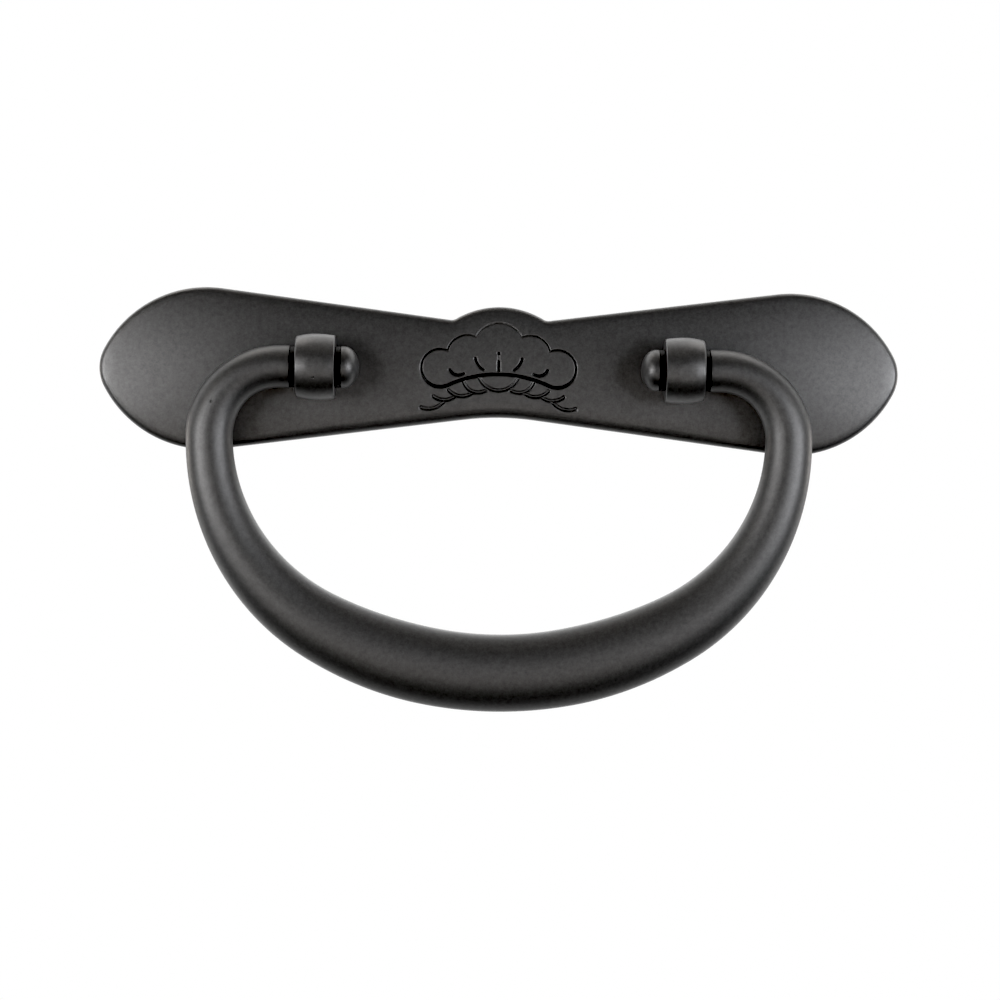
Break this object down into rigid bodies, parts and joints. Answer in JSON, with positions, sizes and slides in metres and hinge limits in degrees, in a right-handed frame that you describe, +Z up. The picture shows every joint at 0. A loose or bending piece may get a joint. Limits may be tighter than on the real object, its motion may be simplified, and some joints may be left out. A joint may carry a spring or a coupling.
{
  "type": "cabinet handle",
  "caption": "Swinging drawer handle: shaped black back plate with a pine motif, eye posts and a bail with a swollen oval grip on domed pivot pins.",
  "frame": {"origin": "middle of the back plate's back plane, halfway between the two screw holes", "axes": "+Z up with the bail hanging towards -Z, +X along the plate to the right seen from the front, +Y out of the back into the furniture, front facing -Y"},
  "size_m": [0.1212, 0.0139, 0.0633],
  "materials": {
    "plate_paint": "satin black powder coat on pressed steel",
    "bail_paint": "satin black powder coat on a zinc casting",
    "post_paint": "satin black powder coat on a zinc casting",
    "pin_paint": "satin black paint on steel",
    "spacer_nylon": "matt black nylon",
    "washer_steel": "zinc plated steel"
  },
  "bodies": {
    "base": {"back_plate": "plate_paint", "left_post": "post_paint", "right_post": "post_paint", "left_retaining_washer": "washer_steel", "right_retaining_washer": "washer_steel"},
    "bail": {"bail": "bail_paint", "left_pivot_pin": "pin_paint", "right_pivot_pin": "pin_paint", "left_outer_spacer": "spacer_nylon", "left_inner_spacer": "spacer_nylon", "right_inner_spacer": "spacer_nylon", "right_outer_spacer": "spacer_nylon"}
  },
  "joints": [
    {"name": "bail_swing", "type": "hinge", "parent": "base", "child": "bail", "pos_m": [0, -0.009, 0], "axis": [-1, 0, 0], "range_deg": [-5, 185]}
  ]
}
